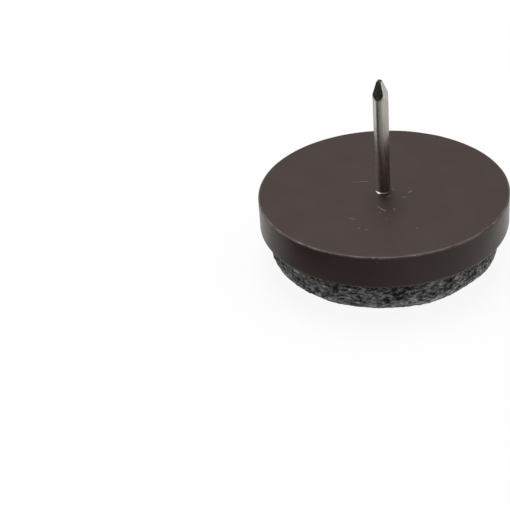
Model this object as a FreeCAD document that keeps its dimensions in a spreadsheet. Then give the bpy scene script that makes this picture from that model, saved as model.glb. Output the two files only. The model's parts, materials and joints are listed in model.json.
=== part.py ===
"""Nail-on furniture glide: a moulded plastic cup with a steel nail and a felt pad.

Millimetres. +Z runs up the nail, the way it is driven into the end of a chair or table leg.
The origin is the centre of the felt's underside, so the glide stands on its felt at z = 0,
with the rim of the cup above that, then the flat face that meets the leg, then the nail.
"""
import FreeCAD, Part
import os
import Sketcher

doc = FreeCAD.newDocument("FurnitureGlide")

# Driving dimensions

SIZES = [
    ("base_diameter", 30.0, "outside diameter of the plastic cup"),
    ("floor_thickness", 2.2, "plastic between the leg and the felt"),
    ("recess_depth", 2.0, "how deep the felt sits inside the rim"),
    ("rim_width", 1.15, "width of the rim around the recess"),
    ("face_edge_radius", 0.15, "edge between the face and the wall"),
    ("rim_outer_radius", 0.4, "outer edge of the rim lip"),
    ("rim_inner_chamfer", 0.2, "inner edge of the rim lip"),
    ("felt_thickness", 6.0, "felt from the recess floor to the ground"),
    ("felt_clearance", 0.2, "groove between the felt and the rim, on the radius"),
    ("felt_edge_radius", 1.0, "rounding of the felt's lower edge"),
    ("wire_diameter", 1.8, "shank of the nail"),
    ("nail_reach", 14.5, "nail above the face, to the end of its point"),
    ("point_length", 2.4, "from the end of the point to the foot of a facet"),
    ("point_end_width", 0.45, "across the blunt end of the point"),
    ("point_turn", -30.0, "turn of the facets about the nail, in degrees"),
    ("head_diameter", 4.5, "flat head of the nail"),
    ("head_thickness", 1.0, "height of the head"),
    ("head_chamfer", 0.15, "chamfer round both sides of the head"),
    ("head_sink", 0.1, "how far the head lies below the recess floor"),
    ("neck_swell", 0.25, "growth of the shank's radius to its neck in the plastic"),
    ("neck_land", 0.01, "flat ring of the neck outside the flare that the shank rises from"),
    ("head_clearance", 0.15, "gap round the head, on the radius"),
    ("neck_clearance", 0.02, "gap round the neck in the plastic, on the radius"),
]

sheet = doc.addObject("Spreadsheet::Sheet", "Sizes")
for row, (alias, value, meaning) in enumerate(SIZES, start=1):
    sheet.set(f"A{row}", alias)
    sheet.set(f"B{row}", str(value))
    sheet.set(f"C{row}", meaning)
    sheet.setAlias(f"B{row}", alias)
doc.recompute()

# Heights and radii that several pieces share, written from the driving dimensions

RIM_HEIGHT = "Sizes.felt_thickness - Sizes.recess_depth"
WALL_HEIGHT = "Sizes.recess_depth + Sizes.floor_thickness"
RECESS_RADIUS = "Sizes.base_diameter / 2 - Sizes.rim_width"
HEAD_SEAT_DEPTH = "Sizes.head_thickness + Sizes.head_sink"
HEAD_FACE_HEIGHT = "Sizes.felt_thickness + Sizes.head_sink"
SHANK_RADIUS = "Sizes.wire_diameter / 2"
NECK_RADIUS = f"{SHANK_RADIUS} + Sizes.neck_swell"
FLARE_RADIUS = "Sizes.neck_swell - Sizes.neck_land"
NECK_TOP = "Sizes.floor_thickness - Sizes.head_sink"
SHANK_TOP = f"{NECK_TOP} + Sizes.nail_reach"


def origin_plane(body, role):
    """One of the body's own origin planes, found by its role."""
    return next(item for item in body.Origin.OriginFeatures if item.Role == role)


def new_body(label, height, turn=None):
    """An empty body named after its piece, standing at a height given by an expression."""
    body = doc.addObject("PartDesign::Body", label)
    body.Label = label
    body.setExpression("Placement.Base.z", height)
    if turn is not None:
        # A first turn of one degree settles the axis that the expression then turns about
        upright = FreeCAD.Vector(0, 0, 1)
        body.Placement = FreeCAD.Placement(FreeCAD.Vector(), FreeCAD.Rotation(upright, 1))
        body.setExpression("Placement.Rotation.Angle", turn)
    return body


def new_sketch(body, name, role="XY_Plane", height=None):
    """A sketch on one of the body's origin planes, lifted by an expression if one is given."""
    sketch = body.newObject("Sketcher::SketchObject", name)
    sketch.AttachmentSupport = [(origin_plane(body, role), "")]
    sketch.MapMode = "FlatFace"
    if height is not None:
        sketch.setExpression("AttachmentOffset.Base.z", height)
    return sketch


def circle_sketch(body, name, radius, height=None):
    """A circle about the axis, its radius bound to an expression."""
    sketch = new_sketch(body, name, height=height)
    sketch.addGeometry(Part.Circle(FreeCAD.Vector(), FreeCAD.Vector(0, 0, 1), 1.0), False)
    sketch.addConstraint(Sketcher.Constraint("Coincident", 0, 3, -1, 1))
    index = sketch.addConstraint(Sketcher.Constraint("Radius", 0, 1.0))
    sketch.renameConstraint(index, "radius")
    sketch.setExpression("Constraints.radius", radius)
    return sketch


def outline_sketch(body, name, points):
    """A closed outline of straight lines on the XZ plane.

    Each corner is a pair of expressions: its distance from the axis and its height."""
    sketch = new_sketch(body, name, role="XZ_Plane")
    start = [FreeCAD.Vector(sheet_value(across), sheet_value(up), 0) for across, up in points]
    count = len(points)
    for number in range(count):
        sketch.addGeometry(Part.LineSegment(start[number], start[(number + 1) % count]), False)
    for number in range(count):
        sketch.addConstraint(Sketcher.Constraint("Coincident", number, 2, (number + 1) % count, 1))
    for number, (across, up) in enumerate(points):
        for kind, what, size in (("DistanceX", "across", across), ("DistanceY", "up", up)):
            index = sketch.addConstraint(Sketcher.Constraint(kind, -1, 1, number, 1, sheet_value(size)))
            sketch.renameConstraint(index, f"{what}_{number}")
            sketch.setExpression(f"Constraints.{what}_{number}", size)
    return sketch


def sheet_value(expression):
    """The present value of an expression of sheet sizes."""
    return float(sheet.evalExpression(expression))


def pad(body, name, sketch, length):
    feature = body.newObject("PartDesign::Pad", name)
    feature.Profile = sketch
    feature.setExpression("Length", length)
    doc.recompute()
    return feature


def pocket(body, name, sketch, depth):
    """A pocket cut upwards from its sketch. It has to take material away."""
    before = body.Shape.Volume
    feature = body.newObject("PartDesign::Pocket", name)
    feature.Profile = sketch
    feature.Reversed = True
    feature.setExpression("Length", depth)
    doc.recompute()
    if body.Shape.Volume >= before:
        raise RuntimeError(f"{name} cut nothing")
    return feature


def revolve(body, name, sketch):
    """The sketch turned all the way about the body's axis."""
    feature = body.newObject("PartDesign::Revolution", name)
    feature.Profile = sketch
    feature.ReferenceAxis = (sketch, ["V_Axis"])
    feature.Angle = 360.0
    doc.recompute()
    return feature


def dress_edge(body, name, ring_radius, ring_height, size, kind="Fillet"):
    """A fillet or chamfer on the one circular edge of that radius at that height in the body."""
    target = sheet_value(ring_radius)
    level = sheet_value(ring_height)
    base = body.Tip
    for number, edge in enumerate(base.Shape.Edges, start=1):
        curve = edge.Curve
        if not isinstance(curve, Part.Circle):
            continue
        if abs(curve.Radius - target) < 1e-4 and abs(curve.Center.z - level) < 1e-4:
            feature = body.newObject(f"PartDesign::{kind}", name)
            feature.Base = (base, [f"Edge{number}"])
            feature.setExpression("Radius" if kind == "Fillet" else "Size", size)
            doc.recompute()
            return feature
    raise RuntimeError(f"{name} found no edge")


def make_cup():
    """The moulded plastic cup. Its own z = 0 is the rim, and its face is at the top."""
    cup = new_body("plastic_cup", RIM_HEIGHT)
    pad(cup, "Disc", circle_sketch(cup, "DiscOutline", "Sizes.base_diameter / 2"), WALL_HEIGHT)
    pocket(cup, "FeltRecess", circle_sketch(cup, "RecessOutline", RECESS_RADIUS), "Sizes.recess_depth")

    # The nail's head is let into the recess floor, and its neck passes through the face
    head_room = "Sizes.head_diameter / 2 + Sizes.head_clearance"
    seat = circle_sketch(cup, "HeadSeatOutline", head_room, "Sizes.recess_depth")
    pocket(cup, "HeadSeat", seat, HEAD_SEAT_DEPTH)
    neck_room = f"{NECK_RADIUS} + Sizes.neck_clearance"
    hole = circle_sketch(cup, "NeckHoleOutline", neck_room, "Sizes.recess_depth")
    pocket(cup, "NeckHole", hole, "Sizes.floor_thickness")

    outside = "Sizes.base_diameter / 2"
    dress_edge(cup, "FaceEdge", outside, WALL_HEIGHT, "Sizes.face_edge_radius")
    dress_edge(cup, "RimOuterEdge", outside, "0", "Sizes.rim_outer_radius")
    dress_edge(cup, "RimInnerEdge", RECESS_RADIUS, "0", "Sizes.rim_inner_chamfer", "Chamfer")
    return cup


def make_nail():
    """The wire nail. Its own z = 0 is the outer side of its head, which faces the felt."""
    nail = new_body("nail", HEAD_FACE_HEIGHT, "Sizes.point_turn")
    head = "Sizes.head_diameter / 2"
    facet_foot = f"{SHANK_TOP} - Sizes.point_length"
    blank = outline_sketch(nail, "BlankOutline", [
        ("0", "0"),
        (f"{head} - Sizes.head_chamfer", "0"),
        (head, "Sizes.head_chamfer"),
        (head, "Sizes.head_thickness - Sizes.head_chamfer"),
        (f"{head} - Sizes.head_chamfer", "Sizes.head_thickness"),
        (NECK_RADIUS, "Sizes.head_thickness"),
        (NECK_RADIUS, NECK_TOP),
        (SHANK_RADIUS, NECK_TOP),
        (SHANK_RADIUS, SHANK_TOP),
        ("0", SHANK_TOP),
    ])
    revolve(nail, "Blank", blank)
    dress_edge(nail, "Flare", SHANK_RADIUS, NECK_TOP, FLARE_RADIUS)

    # One facet of the diamond point is a wedge cut right across, and the pattern makes four
    facet_end = "Sizes.point_end_width / 2"
    clear_of_shank = "Sizes.wire_diameter"
    clear_of_end = f"{SHANK_TOP} + Sizes.wire_diameter"
    wedge = outline_sketch(nail, "FacetOutline", [
        (SHANK_RADIUS, facet_foot),
        (clear_of_shank, facet_foot),
        (clear_of_shank, clear_of_end),
        (facet_end, clear_of_end),
        (facet_end, SHANK_TOP),
    ])
    before = nail.Shape.Volume
    facet = nail.newObject("PartDesign::Pocket", "Facet")
    facet.Profile = wedge
    facet.Midplane = True
    facet.setExpression("Length", "2 * Sizes.wire_diameter")
    doc.recompute()
    pattern = nail.newObject("PartDesign::PolarPattern", "DiamondPoint")
    pattern.Originals = [facet]
    pattern.Axis = (wedge, ["V_Axis"])
    pattern.Angle = 360.0
    pattern.Occurrences = 4
    nail.Tip = pattern
    doc.recompute()
    if nail.Shape.Volume >= before:
        raise RuntimeError("the point was not cut")
    return nail


def make_felt():
    """The felt disc. Its own z = 0 is its underside, which slides on the ground."""
    felt = new_body("felt_pad", "0")
    radius = f"{RECESS_RADIUS} - Sizes.felt_clearance"
    pad(felt, "FeltDisc", circle_sketch(felt, "FeltOutline", radius), "Sizes.felt_thickness")
    dress_edge(felt, "FeltEdge", radius, "0", "Sizes.felt_edge_radius")
    return felt


pieces = [make_cup(), make_nail(), make_felt()]
doc.recompute()

# Nothing is written unless every object and every piece is sound

for item in doc.Objects:
    if "Invalid" in item.State or "Error" in item.State:
        raise RuntimeError(f"{item.Name} failed: {item.State}")
for piece in pieces:
    if piece.Shape.isNull() or not piece.Shape.isValid() or len(piece.Shape.Solids) != 1:
        raise RuntimeError(f"{piece.Label} is not one sound solid")

os.makedirs("parts", exist_ok=True)
for piece in pieces:
    piece.Shape.exportStep(f"parts/{piece.Label}.step")
    box = piece.Shape.BoundBox
    print(f"{piece.Label}: volume {piece.Shape.Volume:.2f} mm3, z {box.ZMin:.3f} to {box.ZMax:.3f}")
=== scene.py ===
"""Looks of a nail-on furniture glide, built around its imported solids.

Metres, in the frame of the solids: +Z runs up the nail and the felt stands on z = 0.
Meshes are worked out in millimetres, as the solids are, and scaled once when they are made.
Azimuths are in degrees from +X, so that -90 is the near side.
"""
import json
import math

import bpy
import numpy as np
from mathutils import Matrix, Vector, noise


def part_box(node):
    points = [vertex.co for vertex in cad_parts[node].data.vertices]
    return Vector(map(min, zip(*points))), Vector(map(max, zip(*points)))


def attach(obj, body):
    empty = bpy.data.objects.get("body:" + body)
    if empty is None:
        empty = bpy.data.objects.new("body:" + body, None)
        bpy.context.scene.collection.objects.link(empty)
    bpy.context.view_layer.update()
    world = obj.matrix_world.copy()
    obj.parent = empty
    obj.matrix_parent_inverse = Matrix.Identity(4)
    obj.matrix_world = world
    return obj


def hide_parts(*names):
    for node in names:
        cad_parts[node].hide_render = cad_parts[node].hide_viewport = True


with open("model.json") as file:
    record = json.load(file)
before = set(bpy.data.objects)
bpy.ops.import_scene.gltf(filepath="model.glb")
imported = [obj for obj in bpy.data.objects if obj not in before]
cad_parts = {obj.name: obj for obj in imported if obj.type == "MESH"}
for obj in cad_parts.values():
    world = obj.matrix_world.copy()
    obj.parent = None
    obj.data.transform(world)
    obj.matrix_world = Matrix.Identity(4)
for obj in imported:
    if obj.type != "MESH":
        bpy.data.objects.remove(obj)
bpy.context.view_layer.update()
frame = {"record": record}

MM = 0.001

# Sizes read from the frame, in millimetres

cup_low, cup_high = (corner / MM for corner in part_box("plastic_cup"))
nail_low, nail_high = (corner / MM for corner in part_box("nail"))
felt_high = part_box("felt_pad")[1] / MM
mounts = {mount["name"]: mount for mount in frame["record"]["mounts"]}

CUP_RADIUS = cup_high.x
RIM_Z = cup_low.z
FACE_Z = mounts["leg_face"]["pos_m"][2] / MM
RECESS_Z = felt_high.z
FELT_RADIUS = felt_high.x
HEAD_Z = nail_low.z
HEAD_RADIUS = nail_high.x
TIP_Z = nail_high.z
SHANK_RADIUS = mounts["nail_shank"]["dims"]["r_mm"]

# Sizes that the frame does not give, as in the solids, in millimetres

RECESS_RADIUS = 13.85
FACE_EDGE_RADIUS = 0.15
RIM_OUTER_RADIUS = 0.4
RIM_INNER_CHAMFER = 0.2
HEAD_THICKNESS = 1.0
HEAD_CHAMFER = 0.15
HEAD_CLEARANCE = 0.15
HEAD_TOP_Z = HEAD_Z + HEAD_THICKNESS
NECK_RADIUS = SHANK_RADIUS + 0.25
NECK_CLEARANCE = 0.02
POINT_LENGTH = 2.4
POINT_FOOT_Z = TIP_Z - POINT_LENGTH
POINT_END = 0.225
POINT_TURN = math.radians(-30.0)
FELT_EDGE = 1.0
FELT_FLAT_RADIUS = FELT_RADIUS - FELT_EDGE


# Mesh building

TINY = 1e-9


def mesh_object(name, points, faces):
    """A smooth-shaded mesh from points in millimetres and faces that look outwards."""
    mesh = bpy.data.meshes.new(name)
    mesh.from_pydata((np.asarray(points) * MM).tolist(), [], [list(face) for face in faces])
    mesh.validate()
    mesh.shade_smooth()
    obj = bpy.data.objects.new(name, mesh)
    bpy.context.scene.collection.objects.link(obj)
    return obj


def ring_faces(rows, columns, closed=False):
    """Quads of a grid whose columns run round in a ring, and its rows too if closed."""
    column = np.arange(columns)
    following = np.roll(column, -1)
    row = np.arange(rows if closed else rows - 1)[:, None]
    here, above = row * columns, (row + 1) % rows * columns
    quads = [here + column, here + following, above + following, above + column]
    return np.stack(quads, axis=-1).reshape(-1, 4)


def arc(centre, radius, start, end, steps):
    """Points along an arc of a profile, its angles in degrees from the outward direction."""
    across, up = centre
    turn = np.radians(np.linspace(start, end, steps))
    return np.stack([across + radius * np.cos(turn), up + radius * np.sin(turn)], axis=-1)


def run(start, end, steps):
    """Points along a straight part of a profile, without its end."""
    return np.linspace(start, end, steps, endpoint=False)


def turns(segments):
    """Equal steps of angle once round the axis, in radians."""
    return np.arange(segments) * (2 * math.pi / segments)


def outward_at(turn):
    """The level directions at those angles, of length one."""
    return np.stack([np.cos(turn), np.sin(turn), 0 * turn], axis=-1)


def unit(vectors):
    """The same directions at length one."""
    return vectors / np.maximum(np.linalg.norm(vectors, axis=-1, keepdims=True), TINY)


def revolved(profile, segments):
    """Points of a profile of (radius, height) pairs turned about the axis, row by row."""
    turn = turns(segments)
    across, up = profile[:, 0, None], profile[:, 1, None]
    return np.stack([across * np.cos(turn), across * np.sin(turn), up + 0 * turn], axis=-1)


def noise_at(points, size, seed):
    """Smooth noise from -1 to 1 at each point, whose lumps are about that many millimetres."""
    flat = np.asarray(points).reshape(-1, 3) / size + seed
    values = np.array([noise.noise(Vector(point)) for point in flat])
    return values.reshape(np.asarray(points).shape[:-1])


def waves(points, parts):
    """Noise of several kinds added up, each part with its size, its seed and its height."""
    return sum(height * noise_at(points, size, seed) for size, seed, height in parts)


def bell(turn, azimuth, width):
    """A smooth lump that is 1 at one azimuth and fades over the width, all in degrees."""
    away = (turn - azimuth + 180) % 360 - 180
    return np.exp(-(away / width) ** 2)


# The nail's foot: each lump has its azimuth, its height in millimetres and its width in degrees

FLARE_LEAST = 0.02
FLARE_LUMPS = ((-124, 0.145, 22), (-62, 0.085, 25))


def flare(turn):
    """How far the nail spreads where it meets the face, most of it on the near side."""
    spread = np.full(len(turn), FLARE_LEAST)
    for azimuth, height, width in FLARE_LUMPS:
        spread += height * bell(np.degrees(turn), azimuth, width)
    return spread


# Cup, in millimetres. Its rows within the mouth's reach of the shank follow the nail's flare. A
# crease is the room that a crisp edge leaves to the next row of points, and ease is how far a
# point is held back from a sharp corner.

CUP_SEGMENTS = 512
HOLE_MOUTH = 0.02
MOUTH_EDGE = 0.05
MOUTH_REACH = 0.1
SKIN = 0.08
FACE_START = 0.3
CREASE = 0.05
EASE = 0.01

# The edge and the wall as the mould left them: size, seed and height of each wave, the azimuths
# of the nicks, and their width in degrees. The wall is the band at the outline below the edge.

EDGE_REACH = 0.16
EDGE_WAVES = ((0.5, 7.0, 0.010), (2.6, 11.0, 0.016))
EDGE_NICKS = (-131.3, -121.3, -118.2, -101.6, -96.4, -86.3, -78.6, -37.5)
NICK_DEPTH = 0.045
NICK_WIDTH = 0.7
WALL_BAND = 0.5
WALL_WAVES = ((7.0, 5.0, 0.02),)


def cup_profile():
    """The section of the cup, from the nail's hole over the face and round to the hole again."""
    hole = NECK_RADIUS + NECK_CLEARANCE
    mouth = SHANK_RADIUS + HOLE_MOUTH
    head_room = HEAD_RADIUS + HEAD_CLEARANCE
    face_edge = (CUP_RADIUS - FACE_EDGE_RADIUS, FACE_Z - FACE_EDGE_RADIUS)
    rim_edge = (CUP_RADIUS - RIM_OUTER_RADIUS, RIM_Z + RIM_OUTER_RADIUS)
    bevel_across = RECESS_RADIUS + RIM_INNER_CHAMFER
    bevel_up = RIM_Z + RIM_INNER_CHAMFER
    return np.concatenate([
        arc((mouth + MOUTH_EDGE, FACE_Z - MOUTH_EDGE), MOUTH_EDGE, 180, 90, 4),
        run((mouth + FACE_START, FACE_Z), (face_edge[0], FACE_Z), 30),
        arc(face_edge, FACE_EDGE_RADIUS, 90, 0, 7),
        run((CUP_RADIUS, face_edge[1] - CREASE), (CUP_RADIUS, rim_edge[1]), 14),
        arc(rim_edge, RIM_OUTER_RADIUS, 0, -90, 9),
        [(bevel_across + CREASE, RIM_Z), (bevel_across, RIM_Z + EASE)],
        [(RECESS_RADIUS + EASE, bevel_up)],
        run((RECESS_RADIUS, bevel_up + CREASE), (RECESS_RADIUS, RECESS_Z), 6),
        run((RECESS_RADIUS, RECESS_Z), (head_room, RECESS_Z), 8),
        run((head_room, RECESS_Z), (head_room, HEAD_TOP_Z), 3),
        run((head_room, HEAD_TOP_Z), (hole, HEAD_TOP_Z), 3),
        run((hole, HEAD_TOP_Z), (hole, FACE_Z - SKIN), 3),
        [(hole, FACE_Z - SKIN), (mouth, FACE_Z - SKIN + EASE)],
    ])


def make_cup():
    """The moulded cup, with the uneven edge round its face that its mould left."""
    profile = cup_profile()
    points = revolved(profile, CUP_SEGMENTS)
    across, height = profile[:, 0], profile[:, 1]
    turn = turns(CUP_SEGMENTS)
    outward = outward_at(turn)
    outline = outward * CUP_RADIUS

    at_mouth = (across < SHANK_RADIUS + MOUTH_REACH) & (height > FACE_Z - SKIN)
    points[at_mouth] += flare(turn)[:, None] * outward

    from_edge = (across - CUP_RADIUS) ** 2 + (height - FACE_Z) ** 2
    near_edge = np.exp(-(from_edge / EDGE_REACH ** 2))
    push = waves(outline, EDGE_WAVES)
    for azimuth in EDGE_NICKS:
        push -= NICK_DEPTH * bell(np.degrees(turn), azimuth, NICK_WIDTH)
    points += (near_edge[:, None] * push)[..., None] * (outward + (0, 0, 1))

    wall = (across > CUP_RADIUS - WALL_BAND) & (height < FACE_Z - FACE_EDGE_RADIUS)
    points[wall] += waves(outline, WALL_WAVES)[:, None] * outward
    faces = ring_faces(len(profile), CUP_SEGMENTS, closed=True)[:, ::-1]
    return mesh_object("glide_cup", points.reshape(-1, 3), faces)


# Nail, in millimetres. The shank's rows start that far above the face. They stop, and the
# point's rows start, that far below the point's foot. The shoulder rises above that foot, and
# is where the wire's corners are pinched outwards.

NAIL_SEGMENTS = 160
HAIR = 0.02
NECK_ROOT = 0.1
FLARE_ROWS = 10
SHANK_START = 0.4
SHANK_STOP = 0.9
SHANK_ROWS = 24
POINT_START = 0.8
POINT_ROWS = 80
SHOULDER_RISE = 0.55
SHOULDER_REACH = 0.42
SHOULDER_SWELL = 0.055
CORNER_SHARPNESS = 3
EDGE_SOFTNESS = 0.035
POINT_ROUNDING = 0.16
NAIL_LEAN = -0.0065
POINT_LEAN = -0.095

# The rows that round the point's end: share of its outline, and how far they lie below the tip

END_ROWS = ((0.98, 0.10), (0.92, 0.06), (0.80, 0.03), (0.62, 0.01), (0.35, 0.0), (0.05, 0.0))

# Small dents, longer along the wire, above the face and off the middle of the point's end

DENT_WAVES = ((0.5, 2.0, 0.006),)
DENT_STRETCH = (1, 1, 0.3)
DENTS_ABOVE_FACE = 0.03
DENTS_OFF_AXIS = 0.15


def soft_min(first, second, softness):
    """The smaller of two values, with the change from one to the other rounded."""
    blend = np.clip(0.5 + 0.5 * (second - first) / softness, 0, 1)
    return second + (first - second) * blend - softness * blend * (1 - blend)


def nail_ring(height):
    """The nail's radius all round at one height of its shank or its point."""
    facet_turn = turns(NAIL_SEGMENTS) - POINT_TURN
    corners = np.abs(np.sin(2 * facet_turn)) ** CORNER_SHARPNESS
    from_shoulder = (height - (POINT_FOOT_Z + SHOULDER_RISE)) / SHOULDER_REACH
    shank = SHANK_RADIUS + SHOULDER_SWELL * math.exp(-from_shoulder ** 2) * corners
    along = (height - POINT_FOOT_Z) / POINT_LENGTH
    half_width = SHANK_RADIUS - (SHANK_RADIUS - POINT_END) * along
    facet = half_width / np.maximum(np.abs(np.cos(facet_turn)), np.abs(np.sin(facet_turn)))
    return soft_min(shank, facet, EDGE_SOFTNESS)


def nail_rows(turn):
    """The nail's rows from head to tip, each as its radii and its heights all round."""
    outline = [
        (HAIR, HEAD_Z),
        (HEAD_RADIUS / 2, HEAD_Z),
        (HEAD_RADIUS - HEAD_CHAMFER, HEAD_Z),
        (HEAD_RADIUS, HEAD_Z + HEAD_CHAMFER),
        (HEAD_RADIUS, HEAD_TOP_Z - HEAD_CHAMFER),
        (HEAD_RADIUS - HEAD_CHAMFER, HEAD_TOP_Z),
        (NECK_RADIUS + NECK_ROOT, HEAD_TOP_Z),
        (NECK_RADIUS, HEAD_TOP_Z + HAIR),
        (NECK_RADIUS, FACE_Z - SKIN - HAIR),
    ]
    rows = [(radius + 0 * turn, height + 0 * turn) for radius, height in outline]
    spread = flare(turn)
    for bend in np.radians(np.linspace(0, 90, FLARE_ROWS)):
        # Only the flare's first row is sunk into the plastic
        sunk = 0.0 if bend else SKIN
        radii = SHANK_RADIUS + spread * (1 - math.sin(bend))
        rows.append((radii, FACE_Z + spread * (1 - math.cos(bend)) - sunk))
    shank = np.linspace(FACE_Z + SHANK_START, POINT_FOOT_Z - SHANK_STOP, SHANK_ROWS)
    point = np.linspace(POINT_FOOT_Z - POINT_START, TIP_Z - POINT_ROUNDING, POINT_ROWS)
    rows += [(nail_ring(height), height + 0 * turn) for height in (*shank, *point)]
    end = nail_ring(TIP_Z)
    return rows + [(end * share, TIP_Z - drop + 0 * turn) for share, drop in END_ROWS]


def make_nail():
    """The wire nail, from its hidden flat head to the blunt end of its diamond point."""
    turn = turns(NAIL_SEGMENTS)
    outward = outward_at(turn)
    radius, height = (np.array(part) for part in zip(*nail_rows(turn)))
    points = radius[..., None] * outward
    points[..., 2] = height

    dented = (height > FACE_Z + DENTS_ABOVE_FACE) & (radius > DENTS_OFF_AXIS)
    dents = waves(points * DENT_STRETCH, DENT_WAVES)
    points += np.where(dented, dents, 0)[..., None] * outward
    above_face = np.maximum(height - FACE_Z, 0)
    along_point = np.clip((height - POINT_FOOT_Z) / POINT_LENGTH, 0, 1)
    points[..., 0] += NAIL_LEAN * above_face + POINT_LEAN * along_point

    quads = ring_faces(len(radius), NAIL_SEGMENTS)
    first_row = np.arange(NAIL_SEGMENTS)
    last_row = first_row + (len(radius) - 1) * NAIL_SEGMENTS
    return mesh_object("glide_nail", points.reshape(-1, 3), [*quads, first_row[::-1], last_row])


# Felt, in millimetres. A bulge has its azimuth, its height and its width in degrees, and fades
# within a band at the felt's side.

FELT_FACE_STEPS = 172
FELT_EDGE_ROWS = 9
FELT_SIDE_ROWS = 34
FELT_SIDE_START = 0.12
FELT_TUCK = 0.4
FELT_WAVES = ((1.7, 20.0, 0.035), (0.62, 40.0, 0.024), (0.27, 60.0, 0.018))
FELT_SINK = 0.03
FELT_BULGES = (
    (-50, -0.17, 11),
    (-124, 0.06, 12),
    (-76, 0.06, 9),
    (180, 0.07, 16),
    (0, 0.07, 16),
)
BULGE_BAND = 1.5


def felt_surface(points):
    """For points near the felt: the nearest place on its plain form, and the normal there."""
    across = np.hypot(points[..., 0], points[..., 1])
    outward = points[..., :2] / np.maximum(across, TINY)[..., None]
    side = np.maximum(across - FELT_FLAT_RADIUS, 0)
    under = np.maximum(FELT_EDGE - points[..., 2], 0)
    reach = np.hypot(side, under)
    flat = reach < TINY
    out = np.where(flat, 0, side / np.maximum(reach, TINY))
    down = np.where(flat, 1, under / np.maximum(reach, TINY))
    place_across = np.minimum(across, FELT_FLAT_RADIUS) + FELT_EDGE * out
    place_up = np.maximum(points[..., 2], FELT_EDGE) - FELT_EDGE * down
    place = np.concatenate([outward * place_across[..., None], place_up[..., None]], axis=-1)
    normal = np.concatenate([outward * out[..., None], -down[..., None]], axis=-1)
    return place, normal


def felt_relief(points):
    """How far the matted surface stands out of the plain form, in millimetres."""
    relief = waves(points, FELT_WAVES) - FELT_SINK
    turn = np.degrees(np.arctan2(points[..., 1], points[..., 0]))
    across = np.hypot(points[..., 0], points[..., 1])
    on_side = np.clip(across - FELT_RADIUS + BULGE_BAND, 0, 1)
    for azimuth, height, width in FELT_BULGES:
        relief += height * on_side * bell(turn, azimuth, width)
    return relief


def on_felt(points, lift=0.0):
    """Points moved onto the matted surface and lifted off it, but never under the floor."""
    place, normal = felt_surface(points)
    moved = place + normal * (felt_relief(place) + lift)[..., None]
    moved[..., 2] = np.maximum(moved[..., 2], 0)
    return moved


def disc_grid(steps):
    """A square grid of points bent into a unit disc, whose border points are evenly spaced."""
    line = np.linspace(-1, 1, steps + 1)
    a, b = np.meshgrid(line, line, indexing="xy")
    wide = np.abs(a) > np.abs(b)
    radius = np.where(wide, a, b)
    safe = np.where(radius == 0, 1, radius)
    turn = np.where(wide, math.pi / 4 * b / safe, math.pi / 2 - math.pi / 4 * a / safe)
    return radius * np.cos(turn), radius * np.sin(turn)


def make_felt():
    """The felt disc: a matted underside and side, and a plain top that lies in the cup."""
    across, along = disc_grid(FELT_FACE_STEPS)
    flat = [across * FELT_FLAT_RADIUS, along * FELT_FLAT_RADIUS, 0 * across]
    face = np.stack(flat, axis=-1).reshape(-1, 3)
    width = FELT_FACE_STEPS + 1
    index = np.arange(width * width).reshape(width, width)
    border = np.concatenate([index[0, :-1], index[:-1, -1], index[-1, :0:-1], index[:0:-1, 0]])
    corners = [index[:-1, :-1], index[:-1, 1:], index[1:, 1:], index[1:, :-1]]
    face_quads = np.stack(corners, axis=-1).reshape(-1, 4)[:, ::-1]

    side_foot = (FELT_RADIUS, FELT_EDGE + FELT_SIDE_START)
    profile = np.concatenate([
        arc((FELT_FLAT_RADIUS, FELT_EDGE), FELT_EDGE, -90, 0, FELT_EDGE_ROWS)[1:],
        run(side_foot, (FELT_RADIUS, RIM_Z + FELT_TUCK), FELT_SIDE_ROWS),
        [(FELT_RADIUS, RIM_Z + 2 * FELT_TUCK), (FELT_RADIUS, RECESS_Z)],
    ])
    direction = face[border, :2] / FELT_FLAT_RADIUS
    rows = [np.c_[direction * radius, height + 0 * border] for radius, height in profile]
    points = np.concatenate([on_felt(face), *(on_felt(row) for row in rows)])
    columns = len(border)
    points[-columns:, 2] = RECESS_Z

    first = np.arange(columns) + len(face)
    join = np.stack([border, np.roll(border, -1), np.roll(first, -1), first], axis=-1)
    side_quads = ring_faces(len(rows), columns) + len(face)
    top = np.arange(len(points) - columns, len(points))
    return mesh_object("glide_felt", points, [*face_quads, *join, *side_quads, top])


# Fibres, in millimetres. Lengths and widths are shares of those of their layer, a heading and
# a curl are scattered by that many radians, and a few fibres have one end that stands off.

FIBRE_POINTS = 5
FIBRE_SIDES = 3
FIBRE_BLUNTNESS = 0.22
FIBRE_FULLNESS = 0.6
FIBRE_LENGTHS = (0.5, 1.6)
FIBRE_WIDTHS = (0.55, 1.35)
FIBRE_CURL = 0.38
FIBRE_LIFTS = (-0.035, 0.025)
FIBRE_WAVER = 0.010
LOOSE_SHARE = 0.015
LOOSE_LIFTS = (0.03, 0.12)
SIDE_LOWEST = 0.15
SIDE_TUCK = 0.1
SIDE_SCATTER = 0.75
FACE_MARGIN = 0.2
FACE_SCATTER = 0.9
SWIRL_SIZE = 3.2
SWIRL_SEED = 80.0
SWIRL_HALF_TURNS = 2.2


def fibre_lines(starts, headings, lengths, curls, lifts):
    """The points along each fibre, which follows the felt from its start, and the normals."""
    place, normal = felt_surface(starts)
    headings = unit(np.cross(np.cross(normal, headings), normal))
    stride = (lengths / (FIBRE_POINTS - 1))[:, None]
    places = [place]
    for step in range(1, FIBRE_POINTS):
        place, normal = felt_surface(place + headings * stride)
        aside = unit(np.cross(normal, headings))
        headings = unit(np.cross(aside, normal) + aside * curls[:, step, None])
        places.append(place)
    line = np.stack(places, axis=1)
    _, normal = felt_surface(line)
    return on_felt(line, lifts), normal


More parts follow.
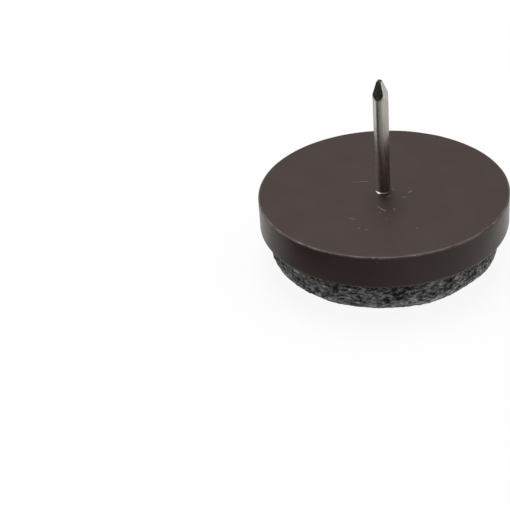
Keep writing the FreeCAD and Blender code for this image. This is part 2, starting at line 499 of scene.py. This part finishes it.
def fibre_mesh(name, line, normal, widths):
    """A thin tapered tube along each line of points."""
    ahead = unit(np.gradient(line, axis=1))
    aside = unit(np.cross(normal, ahead))
    upward = np.cross(ahead, aside)
    along = np.linspace(FIBRE_BLUNTNESS, math.pi - FIBRE_BLUNTNESS, FIBRE_POINTS)
    radius = widths[:, None] / 2 * np.sin(along) ** FIBRE_FULLNESS
    rings = []
    for corner in range(FIBRE_SIDES):
        turn = 2 * math.pi * corner / FIBRE_SIDES + math.pi / 2
        offset = aside * math.cos(turn) + upward * math.sin(turn)
        rings.append(line + offset * radius[..., None])
    points = np.stack(rings, axis=2).reshape(-1, 3)
    points[:, 2] = np.maximum(points[:, 2], 0)

    per_fibre = FIBRE_POINTS * FIBRE_SIDES
    base = (np.arange(len(line)) * per_fibre)[:, None, None]
    quads = (ring_faces(FIBRE_POINTS, FIBRE_SIDES) + base).reshape(-1, 4)
    end = np.arange(FIBRE_SIDES)
    caps = (np.stack([end[::-1], end + per_fibre - FIBRE_SIDES]) + base).reshape(-1, FIBRE_SIDES)
    return mesh_object(name, points, quads.tolist() + caps.tolist())


def scattered(rng, normals, along, spread):
    """Headings in the surface, about the given direction and scattered by the spread."""
    aside = np.cross(normals, along)
    turn = rng.normal(0, spread, len(normals))[:, None]
    return along * np.cos(turn) + aside * np.sin(turn)


def side_starts(rng, count):
    """Where the fibres of the felt's side start, and where they head: level, more or less."""
    turn = rng.uniform(0, 2 * math.pi, count)
    height = rng.uniform(SIDE_LOWEST, RIM_Z + SIDE_TUCK, count)
    starts = np.stack([FELT_RADIUS * np.cos(turn), FELT_RADIUS * np.sin(turn), height], -1)
    _, normals = felt_surface(starts)
    along = unit(np.cross(normals, (0, 0, 1.0)))
    return starts, scattered(rng, normals, along, SIDE_SCATTER)


def face_starts(rng, count):
    """Where the fibres of the underside start, and where they head: in swirls."""
    turn = rng.uniform(0, 2 * math.pi, count)
    across = (FELT_RADIUS - FACE_MARGIN) * np.sqrt(rng.uniform(0, 1, count))
    starts = np.stack([across * np.cos(turn), across * np.sin(turn), 0 * turn], -1)
    _, normals = felt_surface(starts)
    swirl = SWIRL_HALF_TURNS * noise_at(starts, SWIRL_SIZE, SWIRL_SEED) * math.pi
    return starts, scattered(rng, normals, outward_at(swirl), FACE_SCATTER)


def make_fibres(name, place_starts, seed, count, length, width):
    """A layer of fibres on one part of the felt."""
    rng = np.random.default_rng(seed)
    starts, headings = place_starts(rng, count)
    lengths = length * rng.uniform(*FIBRE_LENGTHS, count)
    widths = width * rng.uniform(*FIBRE_WIDTHS, count)
    curls = rng.normal(0, FIBRE_CURL, (count, FIBRE_POINTS))
    lifts = rng.uniform(*FIBRE_LIFTS, (count, 1))
    lifts = lifts + rng.normal(0, FIBRE_WAVER, (count, FIBRE_POINTS))
    loose = rng.uniform(0, 1, count) < LOOSE_SHARE
    lifts[loose, -1] += rng.uniform(*LOOSE_LIFTS, loose.sum())
    line, normal = fibre_lines(starts, headings, lengths, curls, lifts)
    return fibre_mesh(name, line, normal, widths)


# Layers of fibres: name, where they start, seed, count, and length and width in millimetres

FIBRE_LAYERS = (
    ("felt_side_fibres", side_starts, 5, 6400, 1.0, 0.085),
    ("felt_face_fibres", face_starts, 6, 7500, 1.2, 0.095),
)


# Nodes of the materials and of the world

def metres(*lengths):
    """Lengths in millimetres as metres, in which the shaders count."""
    return tuple(length * MM for length in lengths)


def grey(level, warmth=0.0):
    """A near-neutral colour of that linear level, a little warmer where asked."""
    return (level * (1 + warmth), level, level * (1 - warmth), 1.0)


class Nodes:
    """The node tree of a material or of the world, built by short calls."""

    def __init__(self, owner, output="ShaderNodeOutputMaterial", coordinates="Object"):
        owner.use_nodes = True
        self.owner = owner
        self.tree = owner.node_tree
        self.tree.nodes.clear()
        self.output = self.add(output)
        self.position = self.add("ShaderNodeTexCoord").outputs[coordinates]

    def add(self, kind, **settings):
        """A new node of that kind with those settings."""
        node = self.tree.nodes.new(kind)
        for setting, value in settings.items():
            setattr(node, setting, value)
        return node

    def feed(self, socket, value):
        """Sets a socket to a plain value, or links another node's output to it."""
        if isinstance(value, bpy.types.NodeSocket):
            self.tree.links.new(value, socket)
        else:
            socket.default_value = value

    def maths(self, operation, first, second=0.0):
        """What the operation makes of one or two values."""
        node = self.add("ShaderNodeMath", operation=operation)
        self.feed(node.inputs[0], first)
        self.feed(node.inputs[1], second)
        return node.outputs[0]

    def plus(self, first, *others):
        """The sum of all the values."""
        for other in others:
            first = self.maths("ADD", first, other)
        return first

    def times(self, first, second):
        """The product of two values."""
        return self.maths("MULTIPLY", first, second)

    def minus(self, first, second):
        """The first value less the second."""
        return self.maths("SUBTRACT", first, second)

    def vector(self, operation, first, second=(0, 0, 0), output="Vector"):
        """What the operation makes of one or two vectors."""
        node = self.add("ShaderNodeVectorMath", operation=operation)
        self.feed(node.inputs[0], first)
        self.feed(node.inputs[1], second)
        return node.outputs[output]

    def length(self, vector):
        """How long a vector is."""
        return self.vector("LENGTH", vector, output="Value")

    def along(self, vector, direction):
        """How far a vector goes along the direction, as their dot product."""
        return self.vector("DOT_PRODUCT", vector, tuple(direction), "Value")

    def height(self):
        """The height of the place on the surface."""
        split = self.add("ShaderNodeSeparateXYZ")
        self.feed(split.inputs[0], self.position)
        return split.outputs["Z"]

    def span(self, value, bounds, levels=(0.0, 1.0), smooth=True):
        """The value mapped from between two bounds to between two levels, and held there."""
        node = self.add("ShaderNodeMapRange")
        node.interpolation_type = "SMOOTHSTEP" if smooth else "LINEAR"
        sockets = ("Value", "From Min", "From Max", "To Min", "To Max")
        for socket, number in zip(sockets, (value, *bounds, *levels)):
            self.feed(node.inputs[socket], number)
        return node.outputs["Result"]

    def noise_of(self, place, scale, detail, roughness, distortion=0.0):
        """Noise from 0 to 1 with that many lumps to a unit of the place."""
        node = self.add("ShaderNodeTexNoise")
        self.feed(node.inputs["Vector"], place)
        self.feed(node.inputs["Scale"], scale)
        self.feed(node.inputs["Detail"], detail)
        self.feed(node.inputs["Roughness"], roughness)
        self.feed(node.inputs["Distortion"], distortion)
        return node.outputs["Fac"]

    def noise(self, size, detail, roughness):
        """Noise from 0 to 1 whose lumps are about that many millimetres."""
        return self.noise_of(self.position, 1 / (size * MM), detail, roughness)

    def drawn_noise(self, per_mm, detail, roughness, distortion=0.0):
        """Noise from 0 to 1 with that many lumps to a millimetre along X, Y and Z."""
        place = self.vector("MULTIPLY", self.position, tuple(number / MM for number in per_mm))
        return self.noise_of(place, 1.0, detail, roughness, distortion)

    def mix(self, share, first, second):
        """The first colour at share 0, the second at share 1."""
        node = self.add("ShaderNodeMix", data_type="RGBA")
        for number, value in ((0, share), (6, first), (7, second)):
            self.feed(node.inputs[number], value)
        return node.outputs[2]

    def bump(self, height, depth, below=None):
        """A bump whose full height is that many millimetres, on top of the one below."""
        node = self.add("ShaderNodeBump")
        self.feed(node.inputs["Height"], height)
        self.feed(node.inputs["Distance"], depth * MM)
        if below is not None:
            self.feed(node.inputs["Normal"], below)
        return node.outputs["Normal"]

    def ray(self, kind):
        """1 for rays of that kind and 0 for others."""
        return self.add("ShaderNodeLightPath").outputs[kind]

    def shader(self, kind, **values):
        """A shader with those inputs. An underscore in a name stands for a space."""
        node = self.add(kind)
        for socket, value in values.items():
            self.feed(node.inputs[socket.replace("_", " ")], value)
        return node.outputs[0]

    def both(self, first, second):
        """Two shaders added up."""
        node = self.add("ShaderNodeAddShader")
        self.feed(node.inputs[0], first)
        self.feed(node.inputs[1], second)
        return node.outputs[0]

    def choose(self, share, first, second):
        """The first shader at share 0, the second at share 1."""
        node = self.add("ShaderNodeMixShader")
        for number, value in enumerate((share, first, second)):
            self.feed(node.inputs[number], value)
        return node.outputs[0]

    def show(self, shader):
        """Makes the shader what the owner looks like, and returns the owner."""
        self.feed(self.output.inputs["Surface"], shader)
        return self.owner


def new_material(name):
    """The nodes of a new material."""
    return Nodes(bpy.data.materials.new(name))


# The part of its range in which a noise mostly stays

MIDDLE = (0.3, 0.7)


# Pale scuffs on the face, then pale nicks on its edge with painted glints: start, end and width
# in millimetres, and strength.
# A mark is fully pale within its core, a share of its width.

SCUFFS_AND_EDGE_GLINTS = [
    ((-3.46, 2.31), (-2.54, 2.16), 0.09, 0.35),
    ((-2.52, 2.33), (-1.60, 2.18), 0.09, 0.80),
    ((2.98, -1.15), (3.26, -0.87), 0.20, 0.60),
    ((2.06, -2.04), (2.47, -2.27), 0.13, 0.45),
    ((0.23, -1.79), (0.66, -1.54), 0.17, 0.60),
    ((1.09, -0.18), (1.23, -0.21), 0.20, 0.45),
    ((-1.04, -3.84), (-0.97, -4.06), 0.22, 0.50),
    ((-0.78, -4.36), (-0.32, -4.96), 0.17, 0.80),
    ((-1.00, -5.17), (-0.98, -5.26), 0.20, 0.35),
    ((0.74, -4.69), (0.75, -4.88), 0.20, 0.40),
    ((-0.40, -6.68), (-0.36, -6.77), 0.20, 0.25),
    ((-4.63, -5.88), (-4.02, -6.25), 0.14, 0.45),
    ((-4.37, -6.04), (-4.26, -6.10), 0.20, 0.50),
    ((-3.84, -8.22), (-3.80, -8.31), 0.25, 0.30),
    ((-3.01, -8.63), (-2.97, -8.73), 0.25, 0.30),
    ((2.76, -9.13), (2.79, -9.22), 0.22, 0.30),
    ((-10.88, -10.22), (-10.67, -10.44), 0.20, 0.95),
    ((-9.23, -11.74), (-8.95, -11.95), 0.20, 0.80),
    ((-4.72, -14.16), (-4.25, -14.31), 0.20, 0.60),
    ((-2.98, -14.63), (-2.74, -14.68), 0.20, 0.70),
    ((1.48, -14.86), (1.78, -14.82), 0.20, 0.90),
    ((11.45, -9.58), (11.55, -9.46), 0.20, 0.80),
]
MARK_CORE = 0.25


def face_scuffs_and_glints(build):
    """A mask of the small pale scuffs on the face and the pale nicks with painted glints on its
    edge, as strong as each is pale.
    """
    total = 0.0
    for start, end, width, strength in SCUFFS_AND_EDGE_GLINTS:
        origin = Vector((*start, FACE_Z)) * MM
        stroke = Vector((*end, FACE_Z)) * MM - origin
        offset = build.vector("SUBTRACT", build.position, tuple(origin))
        share = build.along(offset, stroke / stroke.length_squared)
        share = build.maths("MINIMUM", build.maths("MAXIMUM", share, 0.0), 1.0)
        nearest = build.add("ShaderNodeVectorMath", operation="SCALE")
        build.feed(nearest.inputs[0], tuple(stroke))
        build.feed(nearest.inputs["Scale"], share)
        gap = build.vector("DISTANCE", offset, nearest.outputs[0], "Value")
        near = build.span(gap, metres(width, MARK_CORE * width), (0.0, strength))
        total = build.maths("MAXIMUM", total, near)
    return total


# Plastic: colours, how strongly the specks and the scuffs and painted glints show, lengths in
# millimetres, and ranges of the noise that specks, the painted highlight and rubbing at the
# edge, and wear come from

BROWN = (0.038, 0.0195, 0.0155, 1)
PALER_BROWN = (0.044, 0.0235, 0.0195, 1)
SPECK_BROWN = (0.070, 0.050, 0.044, 1)
# Painted highlight along the face's rounded edge, partly rubbed wear
HIGHLIGHT_AND_WEAR_BROWN = (0.165, 0.130, 0.120, 1)
# Pale scuffs on the face, and painted glints at the nicks of its edge
SCUFF_AND_GLINT_BROWN = (0.27, 0.235, 0.22, 1)
SPECK_STRENGTH = 0.15
SCUFF_AND_GLINT_STRENGTH = 0.55
SPECK_RANGE = (0.60, 0.78)
FACE_BAND = (0.10, 0.02)
EDGE_HIGHLIGHT_AND_WEAR_INSET = 0.05
EDGE_HIGHLIGHT_AND_WEAR_BAND = (0.20, 0.07)
EDGE_HIGHLIGHT_AND_WEAR_RANGE = (0.36, 0.62)
EDGE_HIGHLIGHT_AND_WEAR_LEVELS = (0.35, 1.0)
WEAR_RANGE = (0.35, 0.7)
FACE_ROUGHNESS = (0.44, 0.465)
WALL_ROUGHNESS = (0.23, 0.28)
GRAIN_DEPTH = 0.006
RIPPLE_DEPTH = 0.012
MARK_DEPTH = 0.03
PLASTIC_IOR = 1.40


def plastic_material():
    """Dark brown plastic: satin on the leg face, smoother on the wall, with a painted highlight
    and some rubbing at the edge.
    """
    build = new_material("brown_plastic")
    height = build.height()
    on_face = build.span(height, metres(*(FACE_Z - depth for depth in FACE_BAND)))
    on_wall = build.minus(1.0, on_face)
    scuffs_and_glints = face_scuffs_and_glints(build)

    clouds = build.noise(size=4.5, detail=4.0, roughness=0.6)
    specks = build.span(build.noise(size=0.45, detail=2.0, roughness=0.6), SPECK_RANGE)
    brown = build.mix(build.span(clouds, MIDDLE), BROWN, PALER_BROWN)
    brown = build.mix(build.times(specks, SPECK_STRENGTH), brown, SPECK_BROWN)

    # Painted highlight in patches along the face's rounded edge, partly rubbed wear
    across = build.length(build.vector("MULTIPLY", build.position, (1, 1, 0)))
    out = build.minus(across, (CUP_RADIUS - EDGE_HIGHLIGHT_AND_WEAR_INSET) * MM)
    up = build.minus(height, (FACE_Z - EDGE_HIGHLIGHT_AND_WEAR_INSET) * MM)
    from_edge = build.maths("SQRT", build.plus(build.times(out, out), build.times(up, up)))
    edge_highlight_and_wear = build.span(from_edge, metres(*EDGE_HIGHLIGHT_AND_WEAR_BAND))
    patchy = build.noise(size=1.7, detail=3.0, roughness=0.65)
    edge_highlight_and_wear = build.times(edge_highlight_and_wear, build.span(patchy, EDGE_HIGHLIGHT_AND_WEAR_RANGE, EDGE_HIGHLIGHT_AND_WEAR_LEVELS))
    brown = build.mix(edge_highlight_and_wear, brown, HIGHLIGHT_AND_WEAR_BROWN)
    # Pale scuffs, and painted glints at the edge's nicks
    brown = build.mix(build.times(scuffs_and_glints, SCUFF_AND_GLINT_STRENGTH), brown, SCUFF_AND_GLINT_BROWN)

    wear = build.span(build.noise(size=1.2, detail=3.0, roughness=0.6), WEAR_RANGE)
    face_roughness = build.times(on_face, build.span(wear, (0.0, 1.0), FACE_ROUGHNESS))
    wall_roughness = build.times(on_wall, build.span(wear, (0.0, 1.0), WALL_ROUGHNESS))
    roughness = build.plus(face_roughness, wall_roughness)

    grain = build.bump(build.noise(size=0.22, detail=3.0, roughness=0.65), GRAIN_DEPTH)
    ripple = build.bump(build.noise(size=3.8, detail=1.0, roughness=0.4), RIPPLE_DEPTH, grain)
    relief = build.bump(scuffs_and_glints, MARK_DEPTH, ripple)
    return build.show(build.shader("ShaderNodeBsdfPrincipled", Base_Color=brown, IOR=PLASTIC_IOR,
                                   Roughness=roughness, Normal=relief))


# Steel: colours, the band below the tip where it is sheared and other lengths in millimetres,
# and the range of the noise that the stains come from

STEEL = (0.56, 0.53, 0.485, 1)
BRIGHT_STEEL = (0.70, 0.675, 0.635, 1)
STAINED_STEEL = (0.30, 0.27, 0.245, 1)
SHEARED_STEEL = (0.075, 0.072, 0.065, 1)
STAIN_STRENGTH = 0.25
STAIN_RANGE = (0.55, 0.8)
SHEARED_BAND = (0.16, 0.03)
SHEARED_ROUGHNESS = 0.5
WIRE_ROUGHNESS = (0.22, 0.30)
LINE_DEPTH = 0.0006
DRAWN_DEPTH = 0.002


def steel_material():
    """Bright drawn wire, with the fine lines that the die left along it."""
    build = new_material("nail_steel")
    lines = build.drawn_noise(per_mm=(5.5, 5.5, 0.08), detail=3.0, roughness=0.6)
    coarse = build.drawn_noise(per_mm=(2.6, 2.6, 0.25), detail=2.0, roughness=0.5)
    stain = build.span(build.noise(size=0.5, detail=3.0, roughness=0.6), STAIN_RANGE)
    steel = build.mix(build.span(lines, MIDDLE), STEEL, BRIGHT_STEEL)
    steel = build.mix(build.times(stain, STAIN_STRENGTH), steel, STAINED_STEEL)
    sheared = build.span(build.height(), metres(*(TIP_Z - depth for depth in SHEARED_BAND)))
    steel = build.mix(sheared, steel, SHEARED_STEEL)
    drawn_roughness = build.span(coarse, MIDDLE, WIRE_ROUGHNESS)
    sheared_roughness = build.times(sheared, SHEARED_ROUGHNESS)
    roughness = build.maths("MAXIMUM", drawn_roughness, sheared_roughness)
    relief = build.bump(coarse, DRAWN_DEPTH, build.bump(lines, LINE_DEPTH))
    return build.show(build.shader("ShaderNodeBsdfPrincipled", Base_Color=steel, Metallic=1.0,
                                   Roughness=roughness, Normal=relief))


# Felt: colours, bands above the floor and below the rim in millimetres, how much each cause
# lightens or darkens it (painted light and paler fibres by the floor, painted shade under the
# rim), and from which shade to which one colour gives way to the next

BLACK_FIBRE = grey(0.018, 0.02)
GREY_FIBRE = grey(0.17, 0.01)
PALE_FIBRE = grey(0.74, 0.015)
FELT_DUST = grey(0.12, 0.02)
DUST_STRENGTH = 0.12
FLOOR_BAND = (1.6, 0.3)
RIM_BAND = (2.2, 0.3)
CLUMP_SHARE = 0.3
PATCH_SHARE = 0.7
CLOUD_CONTRAST = 3.2
# Painted light at the felt's foot from the floor, with somewhat paler fibres there
FLOOR_LIGHT_AND_PALE_FIBRES = 0.31
# Painted shade on the felt's side under the rim
RIM_PAINTED_SHADE = 0.12
SCATTER_LIGHTENS = 0.6
FELT_LIGHTNESS = 0.13
BLACK_TO_GREY = (0.20, 0.36)
GREY_TO_PALE = (0.35, 1.05)
TANGLE_DEPTH = 0.05
FELT_ROUGHNESS = 0.95
FELT_IOR = 1.3
FELT_SHEEN = 0.15
SHEEN_ROUGHNESS = 0.5


def felt_material(name, on_fibres):
    """Needle felt of pale, grey and black fibres, with painted shade under the rim, and painted
    light and paler fibres at its foot.
    """
    build = new_material(name)
    height = build.height()
    # Painted light by the floor, partly paler fibres
    floor_light_and_pale_fibres = build.span(height, metres(*FLOOR_BAND))
    # Painted shade under the rim
    painted_rim_shade = build.span(height, metres(*(RIM_Z - depth for depth in RIM_BAND)))
    clumps = build.drawn_noise((0.38, 0.38, 0.6), detail=3.0, roughness=0.6, distortion=0.4)
    patches = build.drawn_noise((1.5, 1.5, 3.4), detail=3.0, roughness=0.65, distortion=0.5)
    grain = build.noise(size=0.24, detail=2.0, roughness=0.6)
    if on_fibres:
        scatter = build.add("ShaderNodeNewGeometry").outputs["Random Per Island"]
    else:
        scatter = grain

    cloud = build.plus(build.times(clumps, CLUMP_SHARE), build.times(patches, PATCH_SHARE))
    shade = build.times(build.minus(cloud, 0.5), CLOUD_CONTRAST)
    # Lighter by the floor: painted light, partly paler fibres
    shade = build.plus(shade, build.times(floor_light_and_pale_fibres, FLOOR_LIGHT_AND_PALE_FIBRES))
    # Darker under the rim: painted shade
    shade = build.minus(shade, build.times(painted_rim_shade, RIM_PAINTED_SHADE))
    shade = build.plus(shade, build.times(scatter, SCATTER_LIGHTENS), FELT_LIGHTNESS)
    tone = build.mix(build.span(shade, GREY_TO_PALE), GREY_FIBRE, PALE_FIBRE)
    tone = build.mix(build.span(shade, BLACK_TO_GREY), BLACK_FIBRE, tone)
    tone = build.mix(build.times(grain, DUST_STRENGTH), tone, FELT_DUST)
    tangle = build.bump(build.noise(size=0.12, detail=2.0, roughness=0.7), TANGLE_DEPTH)
    return build.show(build.shader("ShaderNodeBsdfPrincipled", Base_Color=tone, IOR=FELT_IOR,
                                   Roughness=FELT_ROUGHNESS, Normal=tangle,
                                   Sheen_Weight=FELT_SHEEN, Sheen_Roughness=SHEEN_ROUGHNESS))


# Pieces

def dress(piece, material, replaced=None):
    """Gives a piece its material and its body, and hides the solid that it stands for."""
    piece.data.materials.append(material)
    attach(piece, "root")
    if replaced is not None:
        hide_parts(replaced)
    return piece


dress(make_cup(), plastic_material(), "plastic_cup")
dress(make_nail(), steel_material(), "nail")
felt = dress(make_felt(), felt_material("felt_body", on_fibres=False), "felt_pad")

fibre_felt = felt_material("felt_fibres", on_fibres=True)
for layer in FIBRE_LAYERS:
    dress(make_fibres(*layer), fibre_felt)


# Directions in which the floor and the room get brighter or dimmer

OVERHEAD = Vector((0.0, 0.0, 1.0))
FRONT = Vector((-0.11, -0.994, 0.0))
RIGHT = Vector((0.985, -0.174, 0.0))
DIM_SIDE = Vector((-0.766, -0.643, 0.0))
LEFT_UP = Vector((-0.770, 0.220, 0.600))
RIGHT_UP = Vector((0.84, -0.09, 0.54))

WHITE = grey(1.0)


# Floor. A band has two bounds and the two levels that it passes between. Its bounds are
# distances in millimetres, or how far the way there goes along a direction, from -1 to 1.

FLOOR_SIZE = 3.0
PAPER_GREY = grey(0.98)
TABLE_GREY = grey(0.62)
MIRRORED_FLOOR = (1.0, 0.985, 0.96, 1)

SHADOW_SHARE = ((70, 25), (0.0, 0.09))
GLOW_UNDER_PAD = ((12.8, 12.2), (0.08, 0.50))
GLOW_START = ((13.8, 15.2), (0.0, 0.38))
GLOW_END = ((20.5, 16.5), (0.0, 1.0))
GLOW_RIGHTWARDS = ((-1.0, 1.0), (0.25, 1.75))

BY_WALL = ((28, 20), (0.50, 0.57))
ASIDE = ((-0.2, 1.0), (-0.02, 0.18))
FRONT_LEFT = ((0.35, 0.95), (0.0, -0.18))
FAR_RIGHT = ((0.2, 0.8), (0.0, 0.16))
FAR_RIGHT_FROM = ((40, 80), (0.0, 1.0))
FAR_LEFT = ((-0.75, -0.98), (0.0, 0.40))
FAR_LEFT_FROM = ((26, 36), (0.0, 1.0))
NEAR_LEFT = ((-0.82, -0.95), (0.0, 0.19))
NEAR_LEFT_WITHIN = ((30, 24), (0.0, 1.0))

DIM_FAR_SIDE = ((0.70, 0.95), (0.0, 1.0))
DIM_FAR_SIDE_FROM = ((60, 160), (0.0, 1.0))
DIM_PATCH_PLACE = (-31.0, -18.5)
DIM_PATCH_WITHIN = ((16.8, 6.0), (0.0, 1.0))
DIMMING = ((0.0, 1.0), (1.0, 0.03))


def at_distance(build, distance, band):
    """The level of a band whose bounds are distances."""
    bounds, levels = band
    return build.span(distance, metres(*bounds), levels)


def floor_glow(build, distance, sideways):
    """A faint light under the pad and round it, stronger on the right, as a pale table gives."""
    start = at_distance(build, distance, GLOW_START)
    ring = build.times(start, at_distance(build, distance, GLOW_END))
    ring = build.times(ring, build.span(sideways, *GLOW_RIGHTWARDS, smooth=False))
    return build.plus(at_distance(build, distance, GLOW_UNDER_PAD), ring)


def mirrored_level(build, place, distance, sideways):
    """How bright the floor is in reflections, from zone to zone."""
    def zone(value, band, away):
        return build.times(build.span(value, *band), at_distance(build, distance, away))

    facing = build.along(build.vector("NORMALIZE", place), DIM_SIDE)
    level = build.plus(
        at_distance(build, distance, BY_WALL),
        build.span(sideways, *ASIDE, smooth=False),
        zone(sideways, FAR_RIGHT, FAR_RIGHT_FROM),
        zone(sideways, NEAR_LEFT, NEAR_LEFT_WITHIN),
        zone(sideways, FAR_LEFT, FAR_LEFT_FROM),
        build.span(facing, *FRONT_LEFT),
    )
    from_patch = build.vector("DISTANCE", place, (*metres(*DIM_PATCH_PLACE), 0), "Value")
    in_patch = at_distance(build, from_patch, DIM_PATCH_WITHIN)
    dim = build.maths("MAXIMUM", zone(facing, DIM_FAR_SIDE, DIM_FAR_SIDE_FROM), in_patch)
    return build.times(level, build.span(dim, *DIMMING, smooth=False))


def floor_material():
    """White to the camera but for a soft shadow, and a graded grey in reflections.

    It lights the pad a little from below, and is clear when seen from underneath.
    """
    build = new_material("pale_floor")
    geometry = build.add("ShaderNodeNewGeometry")
    place = geometry.outputs["Position"]
    distance = build.length(place)
    sideways = build.along(build.vector("NORMALIZE", place), RIGHT)

    white = build.shader("ShaderNodeEmission", Color=WHITE)
    paper = build.shader("ShaderNodeBsdfDiffuse", Color=PAPER_GREY)
    seen = build.choose(at_distance(build, distance, SHADOW_SHARE), white, paper)

    table = build.shader("ShaderNodeBsdfDiffuse", Color=TABLE_GREY)
    glow = floor_glow(build, distance, sideways)
    lit_table = build.both(table, build.shader("ShaderNodeEmission", Color=WHITE, Strength=glow))
    level = mirrored_level(build, place, distance, sideways)
    mirrored = build.shader("ShaderNodeEmission", Color=MIRRORED_FLOOR, Strength=level)

    other = build.choose(build.ray("Is Glossy Ray"), lit_table, mirrored)
    above = build.choose(build.ray("Is Camera Ray"), other, seen)
    clear = build.shader("ShaderNodeBsdfTransparent")
    return build.show(build.choose(geometry.outputs["Backfacing"], above, clear))


def make_floor():
    """A flat square, far wider than the picture."""
    half = FLOOR_SIZE / 2
    mesh = bpy.data.meshes.new("floor")
    corners = [(-half, -half, 0), (half, -half, 0), (half, half, 0), (-half, half, 0)]
    mesh.from_pydata(corners, [], [(0, 1, 2, 3)])
    mesh.materials.append(floor_material())
    floor = bpy.data.objects.new("floor", mesh)
    bpy.context.scene.collection.objects.link(floor)


# World. Each part has a direction, how far a ray has to go along it for the change to start and
# to end, and the levels before and after.

ROOM_GREY = grey(0.8)
ROOM_OVERHEAD = (OVERHEAD, (0.25, 0.9), (0.40, 0.95))
ROOM_DIM_SIDE = (DIM_SIDE, (0.55, 0.95), (1.0, 0.15))
ROOM_DIM_FRONT = (FRONT, (0.1, 0.9), (1.0, 0.14))
MIRRORED_DIM_RIGHT = (RIGHT_UP, (0.50, 0.85), (1.0, 0.05))
MIRRORED_LEFT = (LEFT_UP, (0.74, 0.94), (0.0, 1.6))


def make_world():
    """White behind the object, and a grey room round it, brighter overhead.

    In reflections the room is brighter on the left and dimmer on the right.
    """
    world = bpy.data.worlds.new("studio")
    bpy.context.scene.world = world
    build = Nodes(world, "ShaderNodeOutputWorld", "Generated")

    def part(direction, facing, levels):
        return build.span(build.along(build.position, direction), facing, levels)

    level = build.times(part(*ROOM_OVERHEAD), part(*ROOM_DIM_SIDE))
    level = build.times(level, part(*ROOM_DIM_FRONT))
    in_mirrors = build.plus(build.times(level, part(*MIRRORED_DIM_RIGHT)), part(*MIRRORED_LEFT))
    room = build.shader("ShaderNodeBackground", Color=ROOM_GREY, Strength=level)
    mirrored = build.shader("ShaderNodeBackground", Color=ROOM_GREY, Strength=in_mirrors)
    white = build.shader("ShaderNodeBackground", Color=WHITE)
    around = build.choose(build.ray("Is Glossy Ray"), room, mirrored)
    build.show(build.choose(build.ray("Is Camera Ray"), around, white))


# Lamp

LAMP_PLACE = Vector((0.02, 0.28, 0.78))
LAMP_SIZE = 0.45
LAMP_POWER = 3.4


def make_lamp():
    """A soft round lamp high up behind the glide, which looks down at it."""
    light = bpy.data.lights.new("key", "AREA")
    light.shape = "DISK"
    light.size = LAMP_SIZE
    light.energy = LAMP_POWER
    lamp = bpy.data.objects.new("key", light)
    lamp.location = LAMP_PLACE
    lamp.rotation_mode = "QUATERNION"
    lamp.rotation_quaternion = LAMP_PLACE.to_track_quat("Z", "Y")
    bpy.context.scene.collection.objects.link(lamp)


# Camera, fitted to the outlines in the photograph

CAMERA_PLACE = Vector((-15.922, -144.372, 93.670)) * MM
CAMERA_PITCH = math.radians(32.877)
CAMERA_ROLL = math.radians(-4.652)
FRAME_PIXELS = 510
FOCAL_PIXELS = 1400
SENSOR_WIDTH = 36.0
CLIP_START = 0.005
CLIP_END = 10.0


def make_camera():
    """The camera at the photograph's place, with its angle of view."""
    lens = bpy.data.cameras.new("camera")
    lens.sensor_width = SENSOR_WIDTH
    lens.lens = SENSOR_WIDTH * FOCAL_PIXELS / FRAME_PIXELS
    lens.clip_start = CLIP_START
    lens.clip_end = CLIP_END
    camera = bpy.data.objects.new("camera", lens)
    bpy.context.scene.collection.objects.link(camera)
    pitch = Matrix.Rotation(math.pi / 2 - CAMERA_PITCH, 4, "X")
    tilt = pitch @ Matrix.Rotation(CAMERA_ROLL, 4, "Z")
    camera.matrix_world = Matrix.Translation(CAMERA_PLACE) @ tilt
    bpy.context.scene.camera = camera


make_floor()
make_world()
make_lamp()
make_camera()
bpy.context.scene.view_settings.view_transform = "Standard"
